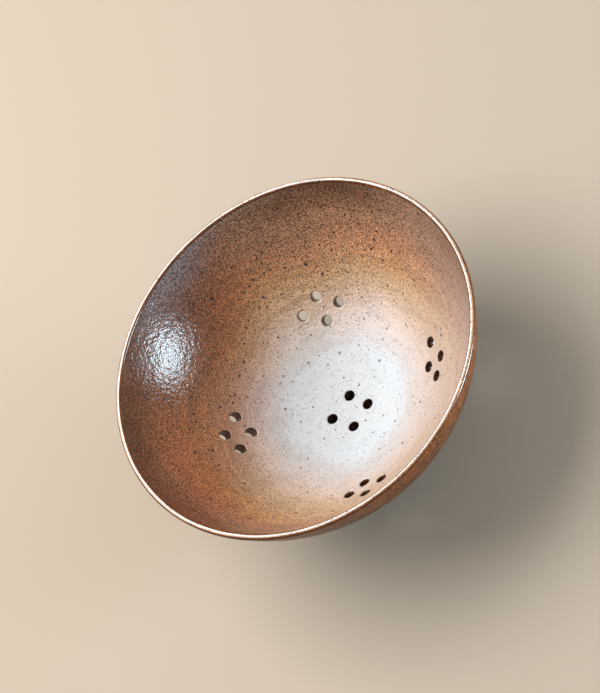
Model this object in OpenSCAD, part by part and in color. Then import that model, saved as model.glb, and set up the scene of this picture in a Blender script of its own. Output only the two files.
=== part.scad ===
// Berry colander bowl: a thrown stoneware bowl on a foot ring, pierced by five clusters of four
// drain holes and coated with glaze. Millimetres, upright, standing on z = 0 round the Z axis.

/* [Bowl] */
// Width of the bowl across its lip
bowl_d = 180; // [156:1:220]
// Depth of the inside, from the top of the lip to the middle of the floor
inside_depth = 63.5; // [50:0.5:72]
// Thickness of the floor at its middle, glaze and all
floor_t = 5.5; // [4:0.1:8]
// Thickness of the wall just under the lip, glaze and all
wall_t = 2.4; // [2:0.1:3.6]
// How far the rounded lip stands proud of the wall on each side
lip_bead = 0.2; // [0.1:0.05:0.5]

/* [Foot ring] */
// Width of the foot ring
foot_d = 66; // [54:1:78]
// Thickness of the ring's wall
foot_t = 6.5; // [4:0.5:9]
// Height of the floor's underside over the table, at its middle
foot_lift = 5; // [4.5:0.5:9]
// Bevel on the ring's two standing edges
foot_bevel = 0.8; // [0.3:0.1:1.5]

/* [Drain holes] */
// Width of a finished hole
hole_d = 4.8; // [3:0.1:6]
// Number of clusters round the wall
cluster_count = 4; // [2:1:5]
// Distance of the wall clusters from the bowl's axis
cluster_r = 50; // [46:0.5:62]
// Distance of a wall cluster's side holes from its middle, round the wall
side_reach = 8.8; // [7:0.1:11]
// Distance of its upper and lower holes from its middle, along the slope
slope_reach = 5.6; // [4.8:0.1:8]
// Distance of the floor cluster's holes from the bowl's axis
floor_reach = 8.7; // [6:0.1:14]

/* [Glaze] */
// Thickness of the glaze coat
glaze_t = 0.4; // [0.2:0.05:0.6]
// Height of the bare clay that the outside glaze leaves at the bottom of the foot
bare_foot_h = 2; // [1:0.5:4]

/* [Hidden] */
$fn = 120;

// A drill's run past each face of the wall
drill_overrun = 2;
// Flats that draw the lip's round section
lip_facets = 24;

// Heights of the floor and of the whole bowl, then the lip's thickness and the middle of its section
floor_z = foot_lift + floor_t;
bowl_h = floor_z + inside_depth;
lip_t = wall_t + 2 * lip_bead;
lip_r = bowl_d / 2 - lip_t / 2;
lip_z = bowl_h - lip_t / 2;

// Radius of the ball that rises from its lowest point to a given reach from the axis
function ball_radius(reach, rise) = (reach * reach + rise * rise) / (2 * rise);

// The inside and the outside are parts of two balls, and the core is the ball midway between
inside_r = ball_radius(lip_r - wall_t / 2, lip_z - floor_z);
inside_z = floor_z + inside_r;
outside_r = ball_radius(lip_r + wall_t / 2, lip_z - foot_lift);
outside_z = foot_lift + outside_r;
core_r = (inside_r + outside_r) / 2;
core_z = (inside_z + outside_z) / 2;

// Height of the outside's surface at a distance from the axis
function outside_height(reach) = outside_z - sqrt(outside_r * outside_r - reach * reach);

foot_r = foot_d / 2;
foot_clay_r = foot_r - glaze_t;
foot_bore_r = foot_r - foot_t;
foot_seat_z = outside_height(foot_r) + floor_t / 2;

// Angle at the inside ball's centre for a length along its surface
function surface_angle(length) = length / inside_r * 180 / PI;

// Tilt of a wall cluster's middle from straight down, seen from the inside ball's centre
cluster_tilt = asin(cluster_r / inside_r);

// A cluster is a diamond: its upper, left, lower and right holes, as shares of the two reaches
diamond_shares = [[1, 0], [0, 1], [-1, 0], [0, -1]];

// The holes are cut by hand, so each slips a little off its mark. A wall cluster slips round the wall
// by degrees and up the slope by a share of the hole's width. Each hole slips up the slope and to the
// left, both as shares of that width.
cluster_slip_deg = [0.8, 0, -1.3, 6.1];
cluster_slip_shares = [-0.14, -0.1, 0.3, 0.02];
wall_slip_shares = [
    [[-0.12, -0.18], [0.1, 0.14], [0.14, -0.1], [-0.12, 0.14]],
    [[0.14, 0.04], [-0.02, 0.16], [-0.12, -0.12], [-0.02, -0.08]],
    [[0.1, 0.1], [-0.02, -0.08], [-0.12, -0.04], [0.04, 0]],
    [[-0.04, 0.02], [-0.08, -0.06], [0.12, -0.1], [0, 0.14]],
];
floor_slip_shares = [[0.02, 0.08], [-0.1, -0.16], [0.18, 0.08], [-0.1, 0]];

// How far the cutter leaned outward in each wall cluster, from square to the inside
cluster_lean_deg = [12, 6, 23, 12];

// Each hole's aim from the inside ball's centre: turn round Z, tilt from straight down, swing to the left.
// Its last number is the cutter's lean.
floor_aims = [
    for (h = [0 : len(diamond_shares) - 1]) [
        h * 360 / len(diamond_shares),
        surface_angle(floor_reach + floor_slip_shares[h][0] * hole_d),
        surface_angle(floor_slip_shares[h][1] * hole_d),
        0,
    ]
];
wall_aims = [
    for (c = [0 : cluster_count - 1], h = [0 : len(diamond_shares) - 1])
        let (
            slip = c % len(wall_slip_shares),
            up = slope_reach * diamond_shares[h][0]
                + (cluster_slip_shares[slip] + wall_slip_shares[slip][h][0]) * hole_d,
            left = side_reach * diamond_shares[h][1] + wall_slip_shares[slip][h][1] * hole_d
        )
        [
            c * 360 / cluster_count + cluster_slip_deg[slip],
            cluster_tilt + surface_angle(up),
            surface_angle(left),
            cluster_lean_deg[slip],
        ]
];

// Drills through the wall, each through its place on the inside
module drills(width) {
    for (aim = concat(floor_aims, wall_aims))
        translate([0, 0, inside_z])
            rotate([0, 0, aim[0]])
                rotate([0, -aim[1], 0])
                    rotate([aim[2], 0, 0])
                        translate([0, 0, -inside_r])
                            rotate([0, -aim[3], 0])
                                translate([0, 0, -floor_t - drill_overrun])
                                    cylinder(d = width, h = floor_t + 2 * drill_overrun);
}

// Section of a whole ball
module ball_outline(radius, centre_z) {
    translate([0, centre_z]) circle(r = radius);
}

// The part of it right of the axis and below the middle of the lip
module dish_outline(radius, centre_z) {
    intersection() {
        ball_outline(radius, centre_z);
        square([bowl_d, lip_z]);
    }
}

// Section of the wall and floor, without the lip, drawn in by an inset from every face
module wall_outline(inset) {
    difference() {
        dish_outline(outside_r - inset, outside_z);
        ball_outline(inside_r + inset, inside_z);
    }
}

// The same with its rounded lip
module bowl_outline(inset) {
    wall_outline(inset);
    translate([lip_r, lip_z])
        polygon([
            for (i = [0 : lip_facets - 1])
                (lip_t / 2 - inset) * [cos(i * 360 / lip_facets), sin(i * 360 / lip_facets)]
        ]);
}

// Section of all the glaze on the bowl: what the clay leaves of the finished bowl
module coat_outline() {
    difference() {
        bowl_outline(0);
        bowl_outline(glaze_t);
    }
}

// Clay of the bowl: floor, wall and lip, with its holes cut wider by their glaze
module clay_bowl() {
    color("#9a7657")
        difference() {
            rotate_extrude() bowl_outline(glaze_t);
            drills(hole_d + 2 * glaze_t);
        }
}

// Ring of clay that the bowl stands on, joined to the clay of its underside
module foot_ring() {
    color("#a5805f")
        rotate_extrude()
            difference() {
                polygon([
                    [foot_bore_r, foot_seat_z],
                    [foot_bore_r, foot_bevel],
                    [foot_bore_r + foot_bevel, 0],
                    [foot_clay_r - foot_bevel, 0],
                    [foot_clay_r, foot_bevel],
                    [foot_clay_r, foot_seat_z],
                ]);
                ball_outline(outside_r - glaze_t, outside_z);
            }
}

// Glaze over the inside, up to the lip
module inside_glaze() {
    color("#b98e6c")
        difference() {
            rotate_extrude()
                intersection() {
                    coat_outline();
                    dish_outline(core_r, core_z);
                }
            drills(hole_d);
        }
}

// Glaze over the top half of the lip
module lip_glaze() {
    color("#d8c0aa")
        rotate_extrude()
            intersection() {
                coat_outline();
                translate([0, lip_z]) square([bowl_d, lip_t]);
            }
}

// Glaze over the outside and down the foot to the glaze line
module outside_glaze() {
    color("#7d5a42")
        difference() {
            rotate_extrude()
                difference() {
                    union() {
                        coat_outline();
                        translate([foot_clay_r, bare_foot_h])
                            square([glaze_t, outside_height(foot_r) + glaze_t / 2 - bare_foot_h]);
                    }
                    dish_outline(core_r, core_z);
                    translate([0, lip_z]) square([bowl_d, lip_t]);
                    square([foot_clay_r, lip_z]);
                    ball_outline(outside_r - glaze_t, outside_z);
                }
            drills(hole_d);
        }
}

// Glaze under the floor, inside the foot ring
module underside_glaze() {
    color("#6f5140")
        difference() {
            rotate_extrude()
                intersection() {
                    difference() {
                        ball_outline(outside_r, outside_z);
                        ball_outline(outside_r - glaze_t, outside_z);
                    }
                    square([foot_bore_r, floor_z]);
                }
            drills(hole_d);
        }
}

// Glaze that lines the drain holes, one sleeve in each
module drain_hole_glaze() {
    color("#4a3022")
        difference() {
            intersection() {
                drills(hole_d + 2 * glaze_t);
                rotate_extrude() wall_outline(glaze_t);
            }
            drills(hole_d);
        }
}

clay_bowl();
foot_ring();
inside_glaze();
lip_glaze();
outside_glaze();
underside_glaze();
drain_hole_glaze();
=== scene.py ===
import math
from functools import partial

import bpy
import numpy as np
from mathutils import Matrix, Vector
from mathutils.geometry import delaunay_2d_cdt


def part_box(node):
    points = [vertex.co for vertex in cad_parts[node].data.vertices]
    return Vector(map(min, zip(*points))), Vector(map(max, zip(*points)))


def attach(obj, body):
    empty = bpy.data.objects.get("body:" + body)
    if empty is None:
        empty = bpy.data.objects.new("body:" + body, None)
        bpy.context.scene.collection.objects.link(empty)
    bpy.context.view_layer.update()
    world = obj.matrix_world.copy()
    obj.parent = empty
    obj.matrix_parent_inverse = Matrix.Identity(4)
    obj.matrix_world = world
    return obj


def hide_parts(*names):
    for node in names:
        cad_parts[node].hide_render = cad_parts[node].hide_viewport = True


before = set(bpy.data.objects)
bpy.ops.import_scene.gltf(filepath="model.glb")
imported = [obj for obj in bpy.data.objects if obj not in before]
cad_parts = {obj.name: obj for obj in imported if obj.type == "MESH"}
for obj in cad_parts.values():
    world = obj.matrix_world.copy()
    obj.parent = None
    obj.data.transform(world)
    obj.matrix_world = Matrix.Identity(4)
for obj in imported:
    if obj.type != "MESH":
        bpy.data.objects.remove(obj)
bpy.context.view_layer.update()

# Clay bowl: the wheel-thrown floor, wall and lip, in iron-bearing stoneware clay. It was thrown in one
# piece, trimmed, and pierced with a round cutter while leather hard, which leaned outward in the wall.
# The glazes cover it, so it stays the CAD solid, and its faces give every glaze its place.
MM = 0.001


def box_mm(node):
    """Lowest and highest corner of a CAD node, in millimetres."""
    low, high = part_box(node)
    return [v / MM for v in low], [v / MM for v in high]


lip_low, lip_high = box_mm("lip_glaze")
lip_half = lip_high[2] - lip_low[2]
lip_r = lip_high[0] - lip_half
lip_z = lip_low[2]
foot_lift = box_mm("underside_glaze")[0][2]
glaze_t = box_mm("clay_bowl")[0][2] - foot_lift
floor_z = box_mm("inside_glaze")[0][2] + glaze_t

# How far the rounded lip stands proud of the wall on each side
LIP_BEAD = 0.2
wall_half = lip_half - LIP_BEAD


def ball_radius(reach, rise):
    """Radius of the ball that rises from its lowest point to a given reach from the axis."""
    return (reach * reach + rise * rise) / (2 * rise)


inside_r = ball_radius(lip_r - wall_half, lip_z - floor_z)
inside_z = floor_z + inside_r
outside_r = ball_radius(lip_r + wall_half, lip_z - foot_lift)
outside_z = foot_lift + outside_r


def square_to(axis):
    """Two directions square to a drain hole's axis and to each other."""
    # No hole's axis lies along this direction
    side = np.cross(axis, [0, 1, 0.2])
    side /= np.linalg.norm(side)
    return side, np.cross(axis, side)


def along_to_ball(axis, spot, radius, centre_z):
    """How far along a hole's axis points have to go, down and outward, to meet a ball."""
    offset = spot - np.array([0, 0, centre_z])
    slope = offset @ axis
    return -slope + np.sqrt(slope ** 2 - (offset ** 2).sum(axis=-1) + radius ** 2)


def drain_holes():
    """Each drain hole's middle on the inside face and the direction of its axis, and the holes' radius,
    measured on the solid sleeves of the drain-hole glaze."""
    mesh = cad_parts["drain_hole_glaze"].data
    mesh.calc_loop_triangles()
    # Corners in one place are one point, and triangles that share a point are of one sleeve
    points = np.array([v.co for v in mesh.vertices]) / MM
    corners = np.array([t.vertices for t in mesh.loop_triangles])
    kind = np.unique(np.round(points, 3), axis=0, return_inverse=True)[1].ravel()
    corners_kind = kind[corners]
    label = np.arange(kind.max() + 1)
    while True:
        lowest = label[corners_kind].min(axis=1)
        new = label.copy()
        for k in range(3):
            np.minimum.at(new, corners_kind[:, k], lowest)
        new = new[new]
        if (new == label).all():
            break
        label = new
    sleeve = label[corners_kind[:, 0]]
    a, b, c = (points[corners[:, k]] for k in range(3))
    facing = np.cross(b - a, c - a)
    area = np.maximum(np.linalg.norm(facing, axis=1, keepdims=True), 1e-9)
    facing = facing / area
    outward = (a + b + c) / 3 - [0, 0, inside_z]
    outward /= np.linalg.norm(outward, axis=1, keepdims=True)
    # The sleeve's end faces lie along the wall, and its round faces stand across it
    round_face = abs((facing * outward).sum(axis=1)) < 0.75
    found, radii = [], []
    for one in sorted(set(sleeve)):
        mine = (sleeve == one) & round_face
        axis = np.linalg.eigh((facing[mine] * area[mine]).T @ facing[mine])[1][:, 0]
        axis = axis if axis[2] < 0 else -axis
        spots = np.concatenate([a[mine], b[mine], c[mine]])
        middle = sum(way * ((spots @ way).max() + (spots @ way).min()) / 2 for way in square_to(axis))
        radii.append(min(np.linalg.norm(np.cross(spots - middle, axis), axis=1)))
        found.append((middle + along_to_ball(axis, middle, inside_r, inside_z) * axis, axis))
    return found, float(np.median(radii))


holes, hole_r = drain_holes()


def linear(code):
    """An sRGB hex colour as the linear colour that a shader takes."""
    parts = [int(code[i:i + 2], 16) / 255 for i in (1, 3, 5)]
    return [v / 12.92 if v <= 0.04045 else ((v + 0.055) / 1.055) ** 2.4 for v in parts] + [1]


def add_node(tree, kind, feeds=(), **settings):
    """Adds a node with its settings. Feeds go to its inputs in their order, or by name or number. Each is a
    value, a socket or a node, and a node gives its first output in use."""
    node = tree.nodes.new(kind)
    for name, value in settings.items():
        setattr(node, name, value)
    for name, value in (feeds if isinstance(feeds, dict) else dict(enumerate(feeds))).items():
        if isinstance(value, bpy.types.Node):
            value = next(socket for socket in value.outputs if socket.enabled)
        if isinstance(value, bpy.types.NodeSocket):
            tree.links.new(value, node.inputs[name])
        else:
            node.inputs[name].default_value = value
    return node


def finish_named(name):
    """An empty material, and the function that adds its nodes."""
    material = bpy.data.materials.new(name)
    material.use_nodes = True
    material.node_tree.nodes.clear()
    return material, partial(add_node, material.node_tree)


def in_mm(add):
    """A point's place on the bowl, in millimetres."""
    place = add("ShaderNodeTexCoord").outputs["Object"]
    return add("ShaderNodeVectorMath", {0: place, 3: 1 / MM}, operation="SCALE")


def fired_clay(name, body, toasted, groggy):
    """Bare stoneware: a dry warm body, toasted in patches by the flame, with dark grog and a fine tooth."""
    material, add = finish_named(name)
    place = in_mm(add)
    # Flame patches are about 14 mm across, grog grains 1.1 mm apart, and the tooth is 0.35 mm
    patch = add("ShaderNodeTexNoise", {"Vector": place, "Scale": 1 / 14, "Detail": 4})
    colour = add("ShaderNodeMix", {0: patch, 6: linear(body), 7: linear(toasted)}, data_type="RGBA")
    grog = add("ShaderNodeTexVoronoi", {"Vector": place, "Scale": 1 / 1.1})
    grog = add("ShaderNodeMapRange", (grog, 0.16, 0.3, 0.75, 0))
    colour = add("ShaderNodeMix", {0: grog, 6: colour, 7: linear(groggy)}, data_type="RGBA")
    tooth = add("ShaderNodeTexNoise", {"Vector": place, "Scale": 1 / 0.35, "Detail": 3})
    bump = add("ShaderNodeBump", {"Height": tooth, "Strength": 0.5, "Distance": 0.08 * MM})
    clay = add("ShaderNodeBsdfPrincipled", {"Base Color": colour, "Roughness": 0.86, "Normal": bump})
    add("ShaderNodeOutputMaterial", {"Surface": clay})
    return material


# Dry and dull brown, and hidden under the glazes
stoneware = fired_clay("fired_stoneware_clay", "#a07a58", "#86603f", "#4a3326")
bowl_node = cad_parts["clay_bowl"]
bowl_node.data.materials.clear()
bowl_node.data.materials.append(stoneware)

# Foot ring: a ring of the same clay under the floor, left bare where it stands on the kiln shelf.
# It was turned on the wheel with a trimming tool, which left fine grooves round both its walls, and
# its standing edges were softened with a wet sponge.
foot_clay_r = box_mm("foot_ring")[1][0]
foot_bore_r = box_mm("underside_glaze")[1][0]

# Its softened edges, its grooves' pitch and depth, and how far a face is sunk into the clay it sits on
FOOT_EDGE = 0.8
TRIM_PITCH = 0.9
TRIM_DEPTH = 0.03
SUNK = 0.02
# Points that draw a groove, an edge, the standing face and the seat, and sides round the ring
GROOVE_STEPS = 6
EDGE_STEPS = 8
BASE_STEPS = 6
SEAT_STEPS = 8
FOOT_SIDES = 300


def making_tree(name, inputs):
    """An empty Geometry Nodes tree that makes a piece, the function that adds its nodes, and the sockets of
    its named inputs."""
    tree = bpy.data.node_groups.new(name, "GeometryNodeTree")
    for label, kind in inputs.items():
        tree.interface.new_socket(label, in_out="INPUT", socket_type=f"NodeSocket{kind}")
    tree.interface.new_socket("Piece", in_out="OUTPUT", socket_type="NodeSocketGeometry")
    add = partial(add_node, tree)
    return tree, add, add("NodeGroupInput").outputs


def sheet_to_roll(add, sides, steps):
    """A flat sheet, with each point's turn round a roll and its share of the way along it."""
    sides = add("ShaderNodeMath", (sides, 1.0), operation="ADD")
    steps = add("ShaderNodeMath", (steps, 1.0), operation="ADD")
    sheet = add("GeometryNodeMeshGrid", (1.0, 1.0, sides, steps))
    spot = add("ShaderNodeSeparateXYZ", (add("GeometryNodeInputPosition"),)).outputs
    turn = add("ShaderNodeMath", (spot["X"], -2 * math.pi), operation="MULTIPLY")
    along = add("ShaderNodeMath", (spot["Y"], 0.5), operation="ADD")
    return sheet, turn, along


def rolled_up(add, sheet, turn, reach, height):
    """The sheet rolled round the axis, with its seam closed."""
    place = {"Z": height}
    for axis, trade in (("X", "COSINE"), ("Y", "SINE")):
        share = add("ShaderNodeMath", (turn,), operation=trade)
        place[axis] = add("ShaderNodeMath", (share, reach), operation="MULTIPLY")
    place = add("ShaderNodeCombineXYZ", place)
    roll = add("GeometryNodeSetPosition", {"Geometry": sheet, "Position": place})
    return add("GeometryNodeMergeByDistance", {"Geometry": roll, "Distance": 1e-6})


def wheel_tree():
    """Geometry Nodes that turn a closed section, drawn in X and Z, round the bowl's axis."""
    tree, add, given = making_tree("turned_on_the_wheel", {
        "Section": "Geometry", "Sides": "Int", "Points": "Int", "Sharp Edge": "Float", "Finish": "Material"})
    sheet, turn, along = sheet_to_roll(add, given["Sides"], given["Points"])
    # Each row of the sheet takes its point of the section, and the last row takes the first point again
    row = add("ShaderNodeMath", (along, given["Points"]), operation="MULTIPLY")
    row = add("ShaderNodeMath", (row,), operation="ROUND")
    row = add("ShaderNodeMath", (row, given["Points"]), operation="MODULO")
    drawn = {"Geometry": given["Section"], "Value": add("GeometryNodeInputPosition"), "Index": row}
    drawn = add("GeometryNodeSampleIndex", drawn, data_type="FLOAT_VECTOR")
    part = add("ShaderNodeSeparateXYZ", (drawn,)).outputs
    roll = rolled_up(add, sheet, turn, part["X"], part["Z"])
    smooth = add("GeometryNodeSetShadeSmooth", {"Geometry": roll}, domain="FACE")
    angle = add("GeometryNodeInputMeshEdgeAngle")
    sharp = add("FunctionNodeCompare", (angle, given["Sharp Edge"]), operation="GREATER_THAN",
                data_type="FLOAT")
    sharp = {"Geometry": smooth, "Selection": sharp, "Shade Smooth": False}
    creased = add("GeometryNodeSetShadeSmooth", sharp, domain="EDGE")
    real = add("GeometryNodeRealizeInstances", (creased,))
    finished = add("GeometryNodeSetMaterial", {"Geometry": real, "Material": given["Finish"]})
    add("NodeGroupOutput", (finished,))
    return tree


def placed(name, data):
    """A new object in the scene, at the origin."""
    thing = bpy.data.objects.new(name, data)
    bpy.context.scene.collection.objects.link(thing)
    return thing


def baked(name, mesh, tree, **values):
    """The plain mesh piece that a Geometry Nodes tree makes from a mesh, with its named inputs set."""
    piece = placed(name, mesh)
    modifier = piece.modifiers.new("making", "NODES")
    modifier.node_group = tree
    sockets = {s.name: s.identifier for s in tree.interface.items_tree if s.item_type == "SOCKET"}
    for label, value in values.items():
        modifier[sockets[label.replace("_", " ")]] = value
    seen = piece.evaluated_get(bpy.context.evaluated_depsgraph_get())
    final = bpy.data.meshes.new_from_object(seen)
    piece.modifiers.clear()
    piece.data = final
    final.name = name
    final.materials.clear()
    final.materials.append(values["Finish"])
    final.polygons.foreach_set("material_index", [0] * len(final.polygons))
    return piece


def section_mesh(name, outline):
    """A closed outline of (reach, height) points in millimetres, as the mesh that the wheel tree turns."""
    mesh = bpy.data.meshes.new(name)
    edges = [(i, (i + 1) % len(outline)) for i in range(len(outline))]
    mesh.from_pydata([(r * MM, 0, z * MM) for r, z in outline], edges, [])
    return mesh


def ball_height(reach, radius, centre_z):
    """Height of the lower side of a ball at a reach from the axis."""
    return centre_z - math.sqrt(radius * radius - reach * reach)


def foot_outline():
    """Section of the foot ring, from the top of its outer wall down, under and up its inner wall."""
    clay_under = outside_r - glaze_t
    walls = []
    for reach, side in ((foot_clay_r, 1), (foot_bore_r, -1)):
        wall = []
        height = ball_height(reach, clay_under, outside_z) - SUNK
        while height > FOOT_EDGE:
            groove = TRIM_DEPTH * (0.5 + 0.5 * math.cos(2 * math.pi * height / TRIM_PITCH))
            wall.append((reach - side * groove, height))
            height -= TRIM_PITCH / GROOVE_STEPS
        for k in range(EDGE_STEPS + 1):
            turn = k / EDGE_STEPS * math.pi / 2
            inset = FOOT_EDGE - FOOT_EDGE * math.cos(turn) + TRIM_DEPTH * (1 - k / EDGE_STEPS)
            wall.append((reach - side * inset, FOOT_EDGE - FOOT_EDGE * math.sin(turn)))
        walls.append(wall)
    outer, inner = walls
    start, end = outer[-1][0], inner[-1][0]
    base = [(start + (end - start) * k / BASE_STEPS, 0.0) for k in range(1, BASE_STEPS)]
    seat = []
    for k in range(1, SEAT_STEPS):
        reach = foot_bore_r + (foot_clay_r - foot_bore_r) * k / SEAT_STEPS
        seat.append((reach, ball_height(reach, clay_under, outside_z) - SUNK))
    return outer + base + inner[::-1] + seat


wheel = wheel_tree()
# Dry and sandy, paler than the glazes, with brown flame marks
bare_clay = fired_clay("bare_toasted_foot_clay", "#ab8560", "#8d633f", "#50382a")
outline = foot_outline()
foot = baked("foot_ring_turned", section_mesh("foot_section", outline), wheel, Sides=FOOT_SIDES,
             Points=len(outline), Sharp_Edge=1.0, Finish=bare_clay)
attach(foot, "root")
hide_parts("foot_ring")

# Inside glaze: iron-speckled stoneware glaze, poured into the bowl and swirled. It stayed thin and
# brown near the lip, broke to orange lower down and pooled pale over the floor, where its bluish white is
# partly a painted reflection of the key light. It softens the throwing rings under it, and rolls over the
# edge of every drain hole in a small bead.

# Round of a hole's edge, then the height, middle and half width of the bead round it, from its axis
EDGE_ROUND = 0.7
BEAD_H = 0.07
BEAD_REACH = 3.5
BEAD_W = 0.4
edge_r = hole_r + glaze_t / 2
# Rings of points round a hole, by their reach from its axis
hole_rings = [edge_r + gap for gap in (0, 0.08, 0.2, 0.35, 0.5, 0.7, 0.95, 1.25, 1.65, 2.15)]
RING_POINTS = 36
LIP_POINTS = 480
# Width of the mesh's grid, and each ring's turn from the one before it, so that no points line up
GRID = 1.0
GOLDEN_TURN = 2.399963
# The grid's last stretch under an edge has rings that lie closer
CLOSE_REACH = 4
CLOSE_RINGS = 8
# How far the lip's face stays inside the CAD's, and the height over which the wall swells out to it
LIP_SHY = 0.02
LIP_BLEND_IN = 1.6
# Length over which a coat's back bends to meet the lip's
BACK_BLEND = 3


def eased(value):
    """0 to 1 with level ends."""
    value = np.clip(value, 0, 1)
    return value * value * (3 - 2 * value)


def blended(share, height, slope):
    """A rise from nothing to a height, level where it starts and at a given slope where it ends."""
    share = np.clip(share, 0, 1)
    return height * (3 * share ** 2 - 2 * share ** 3) + slope * (share ** 3 - share ** 2)


def swept(reach, azimuth, height):
    """Points at a reach from the bowl's axis, an azimuth and a height."""
    return np.stack([reach * np.cos(azimuth), reach * np.sin(azimuth), height], -1)


def throwing_rings(chart, azimuth, low, high):
    """Height of the soft spiral ridges that the potter's fingers left, level at both ends."""
    # Broad ridges 5.2 mm apart and 0.016 mm high, and fine ones 1.9 mm apart, by the turns of the spiral
    spiral = azimuth / (2 * np.pi)
    sway = 0.9 * np.sin(azimuth + 1.1) + 0.5 * np.sin(2 * azimuth - 0.6)
    broad = 0.016 * np.sin(2 * np.pi * ((chart + sway) / 5.2 + spiral))
    fine = 0.004 * np.sin(2 * np.pi * ((chart - 0.7 * sway) / 1.9 - spiral) + 2 * np.sin(azimuth))
    swell = 0.65 + 0.35 * np.sin(3 * azimuth + chart / 9)
    # The palm wore them down over the floor
    worn = 0.08 + 0.92 * eased((chart - 18) / 34)
    return (broad * swell + fine) * worn * eased((chart - low) / 6) * eased((high - chart) / 5)


def glaze_skin(name, rings, front, back, holes_here, ball, side):
    """A closed coat of glaze. Rings are its (chart reach, points) circles, front and back place its faces,
    ball is the (radius, centre height) that its holes meet, and side is 1 inside the bowl and -1 outside."""
    radius, centre_z = ball
    chart, azimuth = [], []
    for number, (reach, count) in enumerate(rings):
        shift = 0 if number in (0, len(rings) - 1) else GOLDEN_TURN * number
        chart.append(np.full(count, reach))
        azimuth.append(shift + np.arange(count) * 2 * np.pi / count)
    chart, azimuth = np.concatenate(chart), np.concatenate(azimuth)
    # No point of the grid stays near a hole, which has rings of its own
    surface = front(chart, azimuth)
    keep = np.ones(len(chart), bool)
    for middle, axis in holes_here:
        away = surface - middle
        beside = np.linalg.norm(np.cross(away, axis), axis=1)
        keep &= (beside > hole_rings[-1] + GRID / 3) | (away @ axis < -inside_r / 3)
    chart, azimuth = chart[keep], azimuth[keep]
    front_points, back_points = [front(chart, azimuth)], [back(chart, azimuth)]
    plan = [np.stack([chart * np.cos(azimuth), chart * np.sin(azimuth)], -1)]
    edges, rims, total = [], [], len(chart)
    first = np.flatnonzero(chart == rings[0][0])
    last = np.flatnonzero(chart == rings[-1][0])
    for loop in (first, last):
        if len(loop) > 2:
            edges += [(int(a), int(b)) for a, b in zip(loop, np.roll(loop, -1))]
    phi = np.arange(RING_POINTS) * 2 * np.pi / RING_POINTS
    for middle, axis in holes_here:
        one, two = square_to(axis)
        for order, ring in enumerate(hole_rings):
            spot = middle + ring * (np.cos(phi)[:, None] * one + np.sin(phi)[:, None] * two)
            met = along_to_ball(axis, spot, radius, centre_z)
            on_ball = spot + met[:, None] * axis
            out = np.hypot(on_ball[:, 0], on_ball[:, 1])
            here = radius * np.arctan2(out, centre_z - on_ball[:, 2])
            turn = np.arctan2(on_ball[:, 1], on_ball[:, 0])
            plan.append(np.stack([here * np.cos(turn), here * np.sin(turn)], -1))
            rolled = EDGE_ROUND - math.sqrt(EDGE_ROUND ** 2 - max(0, hole_r + EDGE_ROUND - ring) ** 2)
            # The bead rises over 0.4 mm from the edge, and the coat's own relief from 0.5 to 1.9 mm
            bead = BEAD_H * math.exp(-((ring - BEAD_REACH) / BEAD_W) ** 2)
            bead *= float(eased((ring - edge_r) / 0.4))
            sunk = on_ball + side * (rolled - bead) * axis
            relief = front(here, turn) - on_ball
            sunk = sunk + relief * float(eased((ring - edge_r - 0.5) / 1.4))
            front_points.append(sunk)
            if order:
                back_points.append(back(here, turn))
            else:
                back_points.append(sunk)
                loop = list(range(total, total + RING_POINTS))
                edges += list(zip(loop, loop[1:] + loop[:1]))
                rims.append(loop)
            total += RING_POINTS
    plan = np.concatenate(plan)
    fronts, backs = np.concatenate(front_points), np.concatenate(back_points)
    # The flat chart is triangulated, all faces are turned one way, and those inside a hole go
    triangles = delaunay_2d_cdt([Vector(p) for p in plan], edges, [], 0, 1e-7, True)
    assert len(triangles[0]) == total, name
    order = np.array([ids[0] for ids in triangles[3]])
    faces = order[np.array(triangles[2])]
    a, b, c = (plan[faces[:, k]] for k in range(3))
    turn = (b - a)[:, 0] * (c - a)[:, 1] - (b - a)[:, 1] * (c - a)[:, 0]
    faces[turn < 0] = faces[turn < 0][:, ::-1]
    rim_of = np.full(total, -1)
    for number, loop in enumerate(rims):
        rim_of[loop] = number
    if len(first) > 2:
        rim_of[first] = len(rims)
    owner = rim_of[faces]
    inside_hole = (owner[:, 0] >= 0) & (owner[:, 0] == owner[:, 1]) & (owner[:, 1] == owner[:, 2])
    faces = faces[~inside_hole]
    # The back has the same triangles turned over. It shares the holes' rims with the front, and walls
    # join the two along the coat's end circles.
    shared = np.zeros(total, bool)
    for loop in rims:
        shared[loop] = True
    twin = np.arange(total) + total
    twin[shared] = np.flatnonzero(shared)
    under = twin[faces]
    if side > 0:
        under = under[:, ::-1]
    else:
        faces = faces[:, ::-1]
    walls = []
    for loop, way in ((first, -1), (last, 1)):
        if len(loop) > 2:
            for i, j in zip(loop, np.roll(loop, -1)):
                quad = (i, twin[i], twin[j], j)
                walls.append(quad if way * side > 0 else quad[::-1])
    used = np.unique(np.concatenate([faces.ravel(), under.ravel()]))
    new = np.full(2 * total, -1)
    new[used] = np.arange(len(used))
    every = np.concatenate([fronts, backs])[used] * MM
    mesh = bpy.data.meshes.new(name)
    mesh.from_pydata(every.tolist(), [], new[faces].tolist() + new[under].tolist() +
                     [[int(new[i]) for i in quad] for quad in walls])
    mesh.update()
    mesh.shade_smooth()
    # The coat is sharp along its rims and smooth elsewhere
    rim = np.full(2 * total, -1)
    rim[:total] = rim_of
    rim[first], rim[last] = len(rims), len(rims) + 1
    rim[twin[first]], rim[twin[last]] = len(rims) + 2, len(rims) + 3
    rim = rim[used]
    ends_of = np.empty(len(mesh.edges) * 2, int)
    mesh.edges.foreach_get("vertices", ends_of)
    ends_of = rim[ends_of.reshape(-1, 2)]
    crease = mesh.attributes.new("sharp_edge", "BOOLEAN", "EDGE")
    crease.data.foreach_set("value", (ends_of[:, 0] >= 0) & (ends_of[:, 0] == ends_of[:, 1]))
    return placed(name, mesh)


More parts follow.
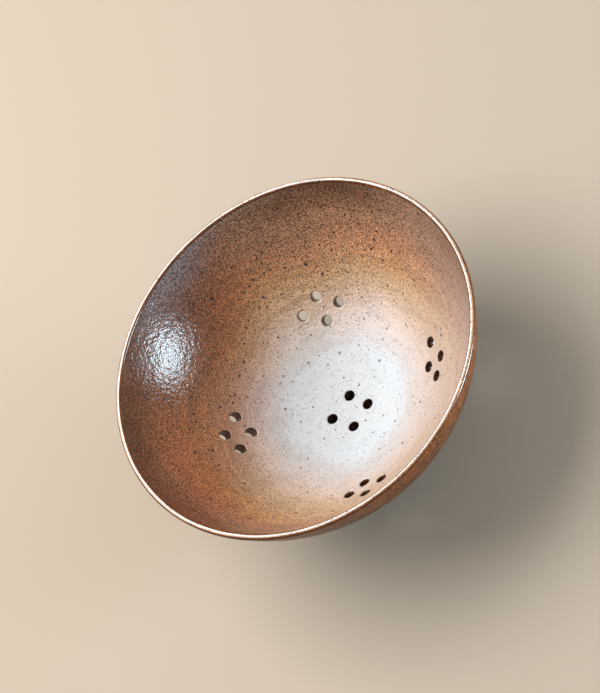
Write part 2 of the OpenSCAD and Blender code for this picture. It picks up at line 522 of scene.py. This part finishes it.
def chart_rings(low, high, low_points, high_points):
    """Circles of points about a grid's width apart, with the two end circles as given."""
    rings = [(low, low_points)]
    near = np.arange(low + GRID, high - CLOSE_REACH, GRID)
    for reach in near:
        count = int(2 * math.pi * outside_r * math.sin(reach / outside_r) / GRID)
        rings.append((reach, max(6, count)))
    for reach in np.linspace(near[-1] + GRID, high, CLOSE_RINGS):
        rings.append((reach, high_points))
    return rings


inside_high = inside_r * math.atan2(lip_r - wall_half, inside_z - lip_z)


def inside_front(chart, azimuth):
    """The face of the inside glaze, by the length from the middle of the floor and the azimuth."""
    tilt = chart / inside_r
    reach, height = inside_r * np.sin(tilt), inside_z - inside_r * np.cos(tilt)
    slope = (inside_z - lip_z) / (lip_r - wall_half) * LIP_BLEND_IN
    reach = reach - blended((height - lip_z + LIP_BLEND_IN) / LIP_BLEND_IN, LIP_BEAD - LIP_SHY, slope)
    relief = throwing_rings(chart, azimuth, 0, inside_high)
    reach, height = reach - relief * np.sin(tilt), height + relief * np.cos(tilt)
    return swept(reach, azimuth, height)


def inside_back(chart, azimuth):
    """Its back, on the clay."""
    tilt = chart / inside_r
    radius = inside_r + glaze_t
    reach, height = radius * np.sin(tilt), inside_z - radius * np.cos(tilt)
    near = eased((chart - inside_high + BACK_BLEND) / BACK_BLEND)
    reach = reach + near * (lip_r - lip_half + glaze_t - radius * math.sin(inside_high / inside_r))
    height = height + near * (lip_z - inside_z + radius * math.cos(inside_high / inside_r))
    return swept(reach, azimuth, height)


inside = glaze_skin("inside_glaze_coat", chart_rings(0, inside_high, 1, LIP_POINTS), inside_front,
                    inside_back, holes, (inside_r, inside_z), 1)

# Kinds of speck in the glaze, finest first: their spacing, their least and greatest radius in millimetres,
# the share of places that has one, their colour and how much they cover. The real fine ones are under
# 0.2 mm across, too fine for a picture, so they are drawn coarser and farther apart.
SPECKS = (
    (1.0, 0.20, 0.36, 0.40, "#d8b595", 0.36),
    (1.3, 0.28, 0.50, 0.50, "#3a2016", 0.78),
    (3.0, 0.42, 0.84, 0.34, "#2e1a17", 0.88),
    (6.2, 0.60, 1.10, 0.26, "#322a33", 0.90),
)


def glaze(name, tones, sway, sides, calm, rings, mottle, grain, roughness, peel, shine, runs=1.0,
          specks=SPECKS):
    """Stoneware glaze: glassy, with iron specks and an orange-peel face. Tones are (reach, colour) stops from
    the bowl's axis, and sway says how much they wander. Sides are rows of a direction, the distances along it
    where a colour begins to show and shows most, how much it then covers, and the colour. Calm is the
    direction in which the glaze stays as calm as in the pool, by its length per millimetre. Rings and mottle
    are the strength of the wheel's rings and of the clouds. Grain, roughness and peel (depth in millimetres)
    are pairs: in the pool, and near the lip. Shine is the strength of the reflections, 0.5 for glass. Runs is
    how many times higher than wide the grain is, where the glaze ran down a wall."""
    material, add = finish_named(name)
    place = in_mm(add)
    flat = add("ShaderNodeVectorMath", (place, (1, 1, 0)), operation="MULTIPLY")
    reach = add("ShaderNodeVectorMath", (flat,), operation="LENGTH")
    # Tones wander by about 6 mm over 34 mm and by 2 mm over 6 mm, and twice as far at the pool's edge
    wander = reach
    loose = add("ShaderNodeMapRange", (reach, 30, 60, 2 * sway, sway))
    elsewhere = add("ShaderNodeVectorMath", (place, (70, 0, 0)), operation="ADD")
    for span, swing in ((34, 12), (6, 5)):
        off = add("ShaderNodeTexNoise", {"Vector": elsewhere, "Scale": 1 / span, "Detail": 3})
        off = add("ShaderNodeMath", (off, 0.5), operation="SUBTRACT")
        off = add("ShaderNodeMath", (off, swing), operation="MULTIPLY")
        wander = add("ShaderNodeMath", (off, loose, wander), operation="MULTIPLY_ADD")
    low, high = tones[0][0], tones[-1][0]
    share = add("ShaderNodeMapRange", (wander, low, high, 0, 1))
    colour = add("ShaderNodeValToRGB", (share,))
    stops = colour.color_ramp.elements
    while len(stops) < len(tones):
        stops.new(0.5)
    for stop, (at, code) in zip(stops, tones):
        stop.position = (at - low) / (high - low)
        stop.color = linear(code)
    # Colours blend in towards given sides of the bowl, each along its own direction; in the inside glaze one
    # of them is a painted reflection
    for way, begins, most, cover, code in sides:
        side = add("ShaderNodeVectorMath", (flat, way), operation="DOT_PRODUCT")
        share = add("ShaderNodeMapRange", (side, begins, most, 0, cover), interpolation_type="SMOOTHSTEP")
        colour = add("ShaderNodeMix", {0: share, 6: colour, 7: linear(code)}, data_type="RGBA")
    # It is calm where it pooled, and its face opens from 26 mm off the axis to 64 mm
    calmer = add("ShaderNodeVectorMath", (flat, calm), operation="DOT_PRODUCT")
    calmer = add("ShaderNodeMath", (calmer, 0.0), operation="MAXIMUM")
    worked = add("ShaderNodeMath", (wander, calmer), operation="SUBTRACT")
    opened = add("ShaderNodeMapRange", (worked, 26, 64, 0, 1))
    # How far the rings and clouds show, the specks' number, size and strength, the roughness and the peel
    shown, more, larger, bolder, dull, deep = (
        add("ShaderNodeMapRange", (opened, 0, 1, *ends))
        for ends in ((0.3, 1), (1.0, 1.05), (0.8, 1), (0.85, 1), roughness, [depth * MM for depth in peel]))
    # Thin rings that the wheel drew through the glaze, 1.3 mm apart, and clouds 9 mm across
    around = add("ShaderNodeVectorMath", (flat,), operation="NORMALIZE")
    around = add("ShaderNodeVectorMath", {0: around, 3: 1.6}, operation="SCALE")
    outward = add("ShaderNodeMath", (wander, 1.3), operation="DIVIDE")
    outward = add("ShaderNodeCombineXYZ", {"Z": outward})
    drawn = add("ShaderNodeVectorMath", (around, outward), operation="ADD")
    drawn = add("ShaderNodeTexNoise", {"Vector": drawn, "Scale": 1, "Detail": 2})
    drawn = add("ShaderNodeMapRange", (drawn, 0.3, 0.7, -rings, rings))
    clouds = add("ShaderNodeTexNoise", {"Vector": place, "Scale": 1 / 9, "Detail": 3})
    clouds = add("ShaderNodeMapRange", (clouds, 0.3, 0.7, -mottle, mottle))
    uneven = add("ShaderNodeMath", (drawn, clouds), operation="ADD")
    uneven = add("ShaderNodeMath", (uneven, shown, 1.0), operation="MULTIPLY_ADD")
    colour = add("ShaderNodeVectorMath", {0: colour, 3: uneven}, operation="SCALE")
    # A grain of 0.65 mm, wider where it ran, deepens from 36 mm to 82 mm. It is drawn for the real one of
    # 0.2 mm, which is too fine to show.
    grains = add("ShaderNodeVectorMath", (place, (1, 1, 1 / runs)), operation="MULTIPLY")
    grains = add("ShaderNodeTexNoise", {"Vector": grains, "Scale": 1 / 0.65 / runs ** 0.5, "Detail": 2})
    grains = add("ShaderNodeMapRange", (grains, 0.35, 0.65, -1, 1))
    depth = add("ShaderNodeMapRange", (worked, 36, 82, *grain))
    grains = add("ShaderNodeMath", (grains, depth, 1.0), operation="MULTIPLY_ADD")
    colour = add("ShaderNodeVectorMath", {0: colour, 3: grains}, operation="SCALE")
    # Specks are ragged by 0.25 mm, smaller and fainter in the pool, and crowded towards one side
    ragged = add("ShaderNodeTexNoise", {"Vector": place, "Scale": 2, "Detail": 1}).outputs["Color"]
    ragged = add("ShaderNodeVectorMath", (ragged, (0.5, 0.5, 0.5), place), operation="MULTIPLY_ADD")
    crowd = add("ShaderNodeVectorMath", (flat, (0.003, 0.0065, 0)), operation="DOT_PRODUCT")
    crowd = add("ShaderNodeMath", (crowd, more), operation="ADD")
    for cell, least, most, part, code, cover in specks:
        spots = add("ShaderNodeTexVoronoi", {"Vector": ragged, "Scale": 1 / cell})
        lot = add("ShaderNodeSeparateColor", (spots.outputs["Color"],)).outputs
        size = add("ShaderNodeMapRange", (lot["Green"], 0, 1, least / cell, most / cell))
        size = add("ShaderNodeMath", (size, larger), operation="MULTIPLY")
        dot = add("ShaderNodeMath", (spots, size), operation="DIVIDE")
        dot = add("ShaderNodeMapRange", (dot, 0.7, 1, cover, 0))
        some = add("ShaderNodeMath", (crowd, part), operation="MULTIPLY")
        there = add("ShaderNodeMath", (lot["Red"], some), operation="LESS_THAN")
        for share in (there, bolder):
            dot = add("ShaderNodeMath", (dot, share), operation="MULTIPLY")
        colour = add("ShaderNodeMix", {0: dot, 6: colour, 7: linear(code)}, data_type="RGBA")
    # Orange peel 1.9 mm and 0.8 mm across, which breaks up the reflections
    ripples = add("ShaderNodeTexNoise", {"Vector": place, "Scale": 1 / 1.9, "Detail": 1})
    face = add("ShaderNodeBump", {"Height": ripples, "Distance": deep})
    deep = add("ShaderNodeMath", (deep, 0.45), operation="MULTIPLY")
    ripples = add("ShaderNodeTexNoise", {"Vector": place, "Scale": 1 / 0.8, "Detail": 1})
    face = add("ShaderNodeBump", {"Height": ripples, "Distance": deep, "Normal": face})
    glassy = add("ShaderNodeBsdfPrincipled", {"Base Color": colour, "IOR": 1.6, "Roughness": dull,
                                              "Specular IOR Level": shine, "Normal": face})
    add("ShaderNodeOutputMaterial", {"Surface": glassy})
    return material


# Satin and milky in the pool, whose bluish white is partly a painted reflection of the key light, and glossy,
# rippled and speckled up the wall
inside_finish = glaze("poured_stoneware_glaze_inside_with_painted_reflections",
                      [(0, "#bfc4c6"), (28, "#c2c9cf"), (35, "#bfbbbb"), (40, "#c2b8b3"), (45, "#c4b3a9"),
                       (50, "#c1a896"), (55, "#ba9b7e"), (60, "#b89571"), (65, "#b4865d"), (70, "#ac7851"),
                       (75, "#a16d4c"), (80, "#8c6247"), (84, "#6f4731"), (88, "#452917")],
                      sway=1.0, calm=(0.36, -0.17, 0), rings=0.16, mottle=0.09, grain=(0.1, 0.85),
                      roughness=(0.6, 0.21), peel=(0.03, 0.18), shine=0.5,
                      sides=[((0.9, -0.43, 0), 10, 70, 0.6, "#a2948d"),
                             ((1.0, 0.3, 0), 64, 94, 0.66, "#6a442c"),
                             ((0.3, 0.95, 0), 46, 76, 0.25, "#b8977f"),
                             ((0.3, 0.95, 0), 76, 92, 0.6, "#452917"),
                             ((-0.98, 0.2, 0), 30, 58, 0.48, "#964e30"),
                             ((-0.87, 0.5, 0), 52, 86, 0.75, "#4c2e20"),
                             ((-0.93, -0.36, 0), 68, 88, 0.6, "#3a2a22"),
                             # Painted reflection: this bluish-grey cap under the lip at the upper left stands
                             # in for a sheen reflected in the glaze
                             ((-0.62, 0.78, 0), 77, 89, 0.42, "#7e858c")])
inside.data.materials.append(inside_finish)
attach(inside, "root")
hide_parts("inside_glaze")

# Lip glaze: the two pours meet over the rounded lip, where the glaze runs thin and breaks to pale over
# orange-brown, and its pale lines along the top are partly painted highlights. The lip was rounded with a wet
# leather after throwing.
ARC_STEPS = 28
CLAY_STEPS = 12


def lip_outline():
    """Section of the coat over the lip: out over its face, then back along the clay."""
    face, clay = lip_half - LIP_SHY, lip_half - glaze_t
    outline = []
    for radius, steps, side in ((face, ARC_STEPS, -1), (clay, CLAY_STEPS, 1)):
        for k in range(steps + 1):
            turn = k / steps * math.pi
            outline.append((lip_r + side * radius * math.cos(turn), lip_z + radius * math.sin(turn)))
    return outline


# Glossy, cream where it is thinnest over the top, a colour that is partly a painted highlight, brown on both
# sides of that, and a fainter pale line further out that is a painted highlight
lip_finish = glaze("thin_glaze_and_painted_highlight_over_the_lip",
                   [(lip_r + out, code) for out, code in (
                       (-1.4, "#3f2617"), (-0.8, "#6e3a1c"), (-0.52, "#8a5a3c"), (-0.36, "#eee7e0"),
                       (0.12, "#eee7e0"), (0.26, "#8a5632"), (0.38, "#8a5632"), (0.5, "#c8a484"),
                       (0.64, "#c8a484"), (0.76, "#7a4424"), (1.4, "#4c2814"))],
                   sway=0.05, sides=[], calm=(0, 0, 0), rings=0.0, mottle=0.25, grain=(0.3, 0.3),
                   roughness=(0.2, 0.2), peel=(0.05, 0.05), shine=0.4, specks=SPECKS[:2])
outline = lip_outline()
lip = baked("lip_glaze_coat", section_mesh("lip_section", outline), wheel, Sides=LIP_POINTS,
            Points=len(outline), Sharp_Edge=1.0, Finish=lip_finish)
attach(lip, "root")
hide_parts("lip_glaze")

# Outside glaze: the same glaze, thinner and browner, poured over the outside of the upturned bowl. It
# rounds the corner above the foot ring and was wiped off the foot, where it ends in a rolled, slightly
# wavy line over the bare clay.

# Round of the corner over the foot, then the height of the edge's roll, how far it swells out, and its
# thickness at the glaze line
MENISCUS = 2.5
ROLL = 0.7
ROLL_OUT = 0.18
LINE_T = 0.02
FOOT_POINTS = 260
# Height over which the wall swells out to the lip
LIP_BLEND_OUT = 3.0
foot_r = foot_clay_r + glaze_t
line_z = box_mm("outside_glaze")[0][2]
corner_z = outside_z - math.sqrt((outside_r + MENISCUS) ** 2 - (foot_r + MENISCUS) ** 2)
corner_tilt = math.asin((foot_r + MENISCUS) / (outside_r + MENISCUS))
corner_span = math.pi / 2 - corner_tilt
ball_low = outside_r * corner_tilt
wall_high = ball_low - MENISCUS * corner_span
line_low = wall_high - (corner_z - line_z)
outside_high = outside_r * math.atan2(lip_r + wall_half, outside_z - lip_z)


def glaze_line(azimuth):
    """How far the glaze's edge stands above its lowest point, round the foot."""
    return 0.35 * (1 + 0.5 * np.sin(2 * azimuth + 0.4) + 0.3 * np.sin(5 * azimuth + 2) +
                   0.2 * np.sin(11 * azimuth + 1) + 0.12 * np.sin(23 * azimuth))


def outside_place(chart, azimuth, deep):
    """A point of the outside coat, deep millimetres under its face."""
    on_ball = chart >= ball_low
    on_corner = (chart < ball_low) & (chart >= wall_high)
    tilt = chart / outside_r
    reach = (outside_r - deep) * np.sin(tilt)
    height = outside_z - (outside_r - deep) * np.cos(tilt)
    bend = np.pi - (chart - wall_high) / MENISCUS
    reach = np.where(on_corner, foot_r + MENISCUS + (MENISCUS + deep) * np.cos(bend), reach)
    height = np.where(on_corner, corner_z + (MENISCUS + deep) * np.sin(bend), height)
    low = ~on_ball & ~on_corner
    drop = (wall_high - chart) / (wall_high - line_low)
    reach = np.where(low, foot_r - deep, reach)
    height = np.where(low, corner_z - drop * (corner_z - line_z - glaze_line(azimuth)), height)
    return reach, height


def outside_front(chart, azimuth):
    """The face of the outside glaze, by the length from the middle of the underside and the azimuth."""
    reach, height = outside_place(chart, azimuth, 0)
    slope = -(outside_z - lip_z) / (lip_r + wall_half) * LIP_BLEND_OUT
    reach = reach + blended((height - lip_z + LIP_BLEND_OUT) / LIP_BLEND_OUT, LIP_BEAD - LIP_SHY, slope)
    relief = 0.8 * throwing_rings(chart, azimuth, ball_low, outside_high)
    tilt = chart / outside_r
    reach, height = reach + relief * np.sin(tilt), height - relief * np.cos(tilt)
    rise = chart - line_low
    bulge = ROLL_OUT * np.exp(-((rise - ROLL) / ROLL) ** 2)
    curl = np.clip(1 - rise / ROLL, 0, 1)
    reach = reach + bulge - (glaze_t + bulge - LINE_T) * (1 - np.sqrt(1 - curl ** 2))
    return swept(reach, azimuth, height)


def outside_back(chart, azimuth):
    """Its back, on the clay."""
    reach, height = outside_place(chart, azimuth, glaze_t)
    near = eased((chart - outside_high + BACK_BLEND) / BACK_BLEND)
    tilt = outside_high / outside_r
    reach = reach + near * (lip_r + lip_half - glaze_t - (outside_r - glaze_t) * math.sin(tilt))
    height = height + near * (lip_z - outside_z + (outside_r - glaze_t) * math.cos(tilt))
    return swept(reach, azimuth, height)


wall_holes = [hole for hole in holes if math.hypot(*hole[0][:2]) > foot_r]
# Seven rows round the edge's roll, others 0.7 mm apart up the foot, and seven round the corner
foot_rows = [line_low + ROLL * (1 - math.cos(k / 6 * math.pi / 2)) for k in range(7)]
foot_rows += list(np.arange(foot_rows[-1] + 0.6, wall_high, 0.7))
foot_rows += list(np.linspace(wall_high, ball_low, 7))
outside_rings = [(reach, FOOT_POINTS) for reach in foot_rows]
outside_rings += chart_rings(ball_low + 0.8, outside_high, FOOT_POINTS, LIP_POINTS)
outside = glaze_skin("outside_glaze_coat", outside_rings, outside_front, outside_back, wall_holes,
                     (outside_r, outside_z), -1)
# Satin and rusty brown, with a dark grain that ran a little down the wall
outside_finish = glaze("poured_stoneware_glaze_outside",
                       [(0, "#4a2a18"), (60, "#512f1a"), (84, "#5d3319"), (90, "#743f1a")],
                       sway=1.0, sides=[], calm=(0, 0, 0), rings=0.12, mottle=0.3, grain=(0.4, 0.8),
                       roughness=(0.5, 0.34), peel=(0.08, 0.4), shine=0.22, runs=2.0)
outside.data.materials.append(outside_finish)
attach(outside, "root")
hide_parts("outside_glaze")

# Underside glaze: the same pour under the floor, inside the foot ring. It fills the corner against the
# ring's inner wall with a soft meniscus and thins out down that wall.

# Round of the corner, the length of the film down the ring's wall and its thickness
POOL = 1.5
FILM_LONG = 1.2
FILM = 0.28
UNDER_POINTS = 170
pool_z = outside_z - math.sqrt((outside_r + POOL) ** 2 - (foot_bore_r - POOL) ** 2)
pool_tilt = math.asin((foot_bore_r - POOL) / (outside_r + POOL))
pool_low = outside_r * pool_tilt
pool_high = pool_low + POOL * (math.pi / 2 + pool_tilt)
film_high = pool_high + FILM_LONG


def under_front(chart, azimuth):
    """The face of the glaze under the floor, by the length from its middle and the azimuth."""
    tilt = chart / outside_r
    relief = 0.6 * throwing_rings(chart, azimuth, 0, pool_low)
    reach, height = (outside_r + relief) * np.sin(tilt), outside_z - (outside_r + relief) * np.cos(tilt)
    bend = np.pi / 2 + pool_tilt - (chart - pool_low) / POOL
    corner = (chart >= pool_low) & (chart < pool_high)
    reach = np.where(corner, foot_bore_r - POOL + POOL * np.cos(bend), reach)
    height = np.where(corner, pool_z + POOL * np.sin(bend), height)
    down = np.clip((chart - pool_high) / (film_high - pool_high), 0, 1)
    reach = np.where(chart >= pool_high, foot_bore_r + SUNK / 2, reach)
    height = np.where(chart >= pool_high, pool_z - down * (film_high - pool_high), height)
    film = FILM * np.sqrt(np.clip(1 - down, 0, 1)) * eased((chart - pool_low) / (pool_high - pool_low))
    return swept(reach - film, azimuth, height)


def under_back(chart, azimuth):
    """Its back, on the clay of the floor and then of the foot ring."""
    share = np.clip((chart - pool_low) / (film_high - pool_low), 0, 1)
    tilt = np.minimum(chart, pool_low) / outside_r
    radius = outside_r - glaze_t
    reach, height = radius * np.sin(tilt), outside_z - radius * np.cos(tilt)
    along = eased(share * 2)
    top = ball_height(foot_bore_r, radius, outside_z)
    reach = reach + (foot_bore_r + SUNK - reach) * along
    height = height + (top - height) * along
    low = pool_z - (film_high - pool_high)
    height = height - np.clip(share * 2 - 1, 0, 1) * (top - low)
    return swept(reach, azimuth, height)


floor_holes = [hole for hole in holes if math.hypot(*hole[0][:2]) < foot_bore_r]
under_rings = [(0, 1)]
under_rings += [(reach, max(6, int(2 * np.pi * reach))) for reach in np.arange(1, pool_low - 0.5, 1.0)]
under_rings += [(reach, UNDER_POINTS) for reach in np.linspace(pool_low, pool_high, 8)]
under_rings += [(reach, UNDER_POINTS) for reach in np.linspace(pool_high, film_high, 6)[1:]]
underside = glaze_skin("underside_glaze_coat", under_rings, under_front, under_back, floor_holes,
                       (outside_r, outside_z), -1)
underside.data.materials.append(outside_finish)
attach(underside, "root")
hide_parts("underside_glaze")

# Drain-hole glaze: the glaze that ran into the twenty holes and lines them, dark and shiny, because it
# lies thick over the iron-rich clay. Each is one sleeve that opens a little at both ends.
SLEEVE_SIDES = 36
SLEEVE_STEPS = 28
# Stops round a sleeve's section: the share of the way, of the glaze's thickness and of the length
SLEEVE_SHARES = ((0.0, 0.5, 0.0), (0.07, 0.22, 0.05), (0.14, 0.05, 0.12), (0.2, 0.0, 0.2), (0.5, 0.0, 0.8),
                 (0.56, 0.05, 0.88), (0.63, 0.22, 0.95), (0.7, 0.5, 1.0), (0.75, 0.98, 0.99),
                 (0.95, 0.98, 0.01), (1.0, 0.5, 0.0))
# How far a sleeve's end lies under the wall's face, where the hole's edge is rounded off
edge_deep = EDGE_ROUND - math.sqrt(EDGE_ROUND ** 2 - (hole_r + EDGE_ROUND - edge_r) ** 2)


def sleeve_tree():
    """Geometry Nodes that line each hole with a sleeve. A hole is a point at the sleeve's inner end, with
    its own middle, its axis, its length, and how steeply its two ends slope with the wall's faces."""
    tree, add, given = making_tree("drain_hole_sleeves", {
        "Holes": "Geometry", "Sides": "Int", "Steps": "Int", "Bore": "Float", "Thickness": "Float",
        "Finish": "Material"})
    sheet, turn, along = sheet_to_roll(add, given["Sides"], given["Steps"])
    drawn = []
    for column in (1, 2):
        curve = add("ShaderNodeFloatCurve", {"Value": along})
        line = curve.mapping.curves[0]
        line.points[0].location = (0.0, SLEEVE_SHARES[0][column])
        line.points[1].location = (1.0, SLEEVE_SHARES[-1][column])
        for row in SLEEVE_SHARES[1:-1]:
            line.points.new(row[0], row[column])
        for point in line.points:
            point.handle_type = "VECTOR"
        curve.mapping.update()
        drawn.append(curve)
    reach = add("ShaderNodeMath", (drawn[0], given["Thickness"], given["Bore"]), operation="MULTIPLY_ADD")
    roll = rolled_up(add, sheet, turn, reach, drawn[1])
    hole = {}
    for label in ("middle", "axis", "length", "near_slope", "far_slope"):
        kind = "FLOAT" if label == "length" else "FLOAT_VECTOR"
        hole[label] = add("GeometryNodeInputNamedAttribute", {"Name": label}, data_type=kind)
    aimed = add("FunctionNodeAlignRotationToVector", {"Vector": hole["axis"]}, axis="Z")
    size = add("ShaderNodeCombineXYZ", (1.0, 1.0, hole["length"]))
    lined = add("GeometryNodeInstanceOnPoints", {"Points": given["Holes"], "Instance": roll,
                                                 "Rotation": aimed, "Scale": size})
    real = add("GeometryNodeRealizeInstances", (lined,))
    # Each point slides along the axis by the slope of the wall's two faces, by its share between them
    spot = add("GeometryNodeInputPosition")
    away = add("ShaderNodeVectorMath", (spot, hole["middle"]), operation="SUBTRACT")
    deep = add("ShaderNodeVectorMath", (away, hole["axis"]), operation="DOT_PRODUCT")
    share = add("ShaderNodeMath", (deep, hole["length"]), operation="DIVIDE")
    near, far = (add("ShaderNodeVectorMath", (away, hole[end]), operation="DOT_PRODUCT")
                 for end in ("near_slope", "far_slope"))
    lift = add("ShaderNodeMix", {0: share, 2: near, 3: far}, data_type="FLOAT")
    shift = add("ShaderNodeVectorMath", {0: hole["axis"], 3: lift}, operation="SCALE")
    cut = add("GeometryNodeSetPosition", {"Geometry": real, "Offset": shift})
    smooth = add("GeometryNodeSetShadeSmooth", {"Geometry": cut}, domain="FACE")
    finished = add("GeometryNodeSetMaterial", {"Geometry": smooth, "Material": given["Finish"]})
    add("NodeGroupOutput", (finished,))
    return tree


# Dark, wet-looking and glossy
hole_finish = glaze("thick_dark_glaze_in_the_holes", [(0, "#41271a"), (100, "#4a2c1c")], sway=1.0,
                    sides=[], calm=(0, 0, 0), rings=0.0, mottle=0.15, grain=(0.3, 0.3),
                    roughness=(0.16, 0.16), peel=(0.03, 0.03), shine=0.5)
hole_points = bpy.data.meshes.new("hole_points")
shapes = {"middle": [], "axis": [], "length": [], "near_slope": [], "far_slope": []}
phi = np.arange(SLEEVE_SIDES) * 2 * np.pi / SLEEVE_SIDES
for middle, axis in holes:
    one, two = square_to(axis)
    spot = middle + edge_r * (np.cos(phi)[:, None] * one + np.sin(phi)[:, None] * two)
    near_end = along_to_ball(axis, spot, inside_r, inside_z)
    far_end = along_to_ball(axis, spot, outside_r, outside_z)
    shapes["middle"].append((middle + (near_end.mean() + edge_deep) * axis) * MM)
    shapes["axis"].append(axis)
    shapes["length"].append((far_end.mean() - near_end.mean() - 2 * edge_deep) * MM)
    for end, met in (("near_slope", near_end), ("far_slope", far_end)):
        shapes[end].append(2 * ((met @ np.cos(phi)) * one + (met @ np.sin(phi)) * two) / len(phi) / edge_r)
hole_points.from_pydata(shapes["middle"], [], [])
for label, values in shapes.items():
    kind, field = ("FLOAT", "value") if label == "length" else ("FLOAT_VECTOR", "vector")
    hole_points.attributes.new(label, kind, "POINT").data.foreach_set(field, np.ravel(values))
sleeves = baked("drain_hole_sleeves", hole_points, sleeve_tree(), Sides=SLEEVE_SIDES, Steps=SLEEVE_STEPS,
                Bore=hole_r * MM, Thickness=glaze_t * MM, Finish=hole_finish)
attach(sleeves, "root")
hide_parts("drain_hole_glaze")

# Table: a plain pale floor, matt as paper. It is no part of the bowl, and lies just under the foot so
# that the two faces don't meet.
FLOOR_Z = -0.2 * MM
FLOOR_HALF = 6
floor_mesh = bpy.data.meshes.new("floor")
corners = [(x * FLOOR_HALF, y * FLOOR_HALF, FLOOR_Z) for x, y in ((-1, -1), (1, -1), (1, 1), (-1, 1))]
floor_mesh.from_pydata(corners, [], [(0, 1, 2, 3)])
table = placed("floor", floor_mesh)
material, add = finish_named("pale_table")
paper = add("ShaderNodeBsdfPrincipled", {"Base Color": linear("#b0a190"), "Roughness": 0.9})
add("ShaderNodeOutputMaterial", {"Surface": paper})
floor_mesh.materials.append(material)

# Light and camera: a large soft box behind the left shoulder, a smaller one low on the right, and a
# pale room. The camera stands off far enough to see the bowl almost without perspective.


def soft_box(name, azimuth, elevation, distance, width, height, power, colour):
    """A rectangular area light that looks at the middle of the bowl."""
    lamp = bpy.data.lights.new(name, "AREA")
    lamp.shape = "RECTANGLE"
    lamp.size, lamp.size_y = width, height
    lamp.energy = power
    lamp.color = linear(colour)[:3]
    turn, rise = math.radians(azimuth), math.radians(elevation)
    way = Vector((math.cos(turn) * math.cos(rise), math.sin(turn) * math.cos(rise), math.sin(rise)))
    stand = Matrix.Translation(Vector((0, 0, 0.04)) + way * distance)
    placed(name, lamp).matrix_world = stand @ way.to_track_quat("Z", "Y").to_matrix().to_4x4()


soft_box("key_soft_box", 153, 54, 1.0, 0.95, 0.9, 18, "#ffffff")
soft_box("right_soft_box", -10, 6, 1.0, 0.4, 0.35, 20, "#d8f1ff")
room = bpy.data.worlds.new("pale_room")
room.use_nodes = True
glow = room.node_tree.nodes["Background"].inputs
glow["Color"].default_value = linear("#f7eee2")
glow["Strength"].default_value = 0.34
bpy.context.scene.world = room

# The camera's focal length, 4000 px in a picture 693 px high, its place and its three axes, as fitted to
# the bowl's outline and holes
lens = bpy.data.cameras.new("camera")
lens.sensor_width = 36
lens.lens = 4000 * lens.sensor_width / 693
lens.clip_start, lens.clip_end = 0.1, 20
camera = placed("camera", lens)
right, up, back = (0.8877, -0.1511, -0.4351), (0.3479, 0.8390, 0.4184), (0.3018, -0.5226, 0.7973)
stand = Matrix.Translation((0.5485, -0.9394, 1.5103))
camera.matrix_world = stand @ Matrix((right, up, back)).transposed().to_4x4()
bpy.context.scene.camera = camera
bpy.context.scene.view_settings.view_transform = "Standard"

bpy.context.view_layer.update()
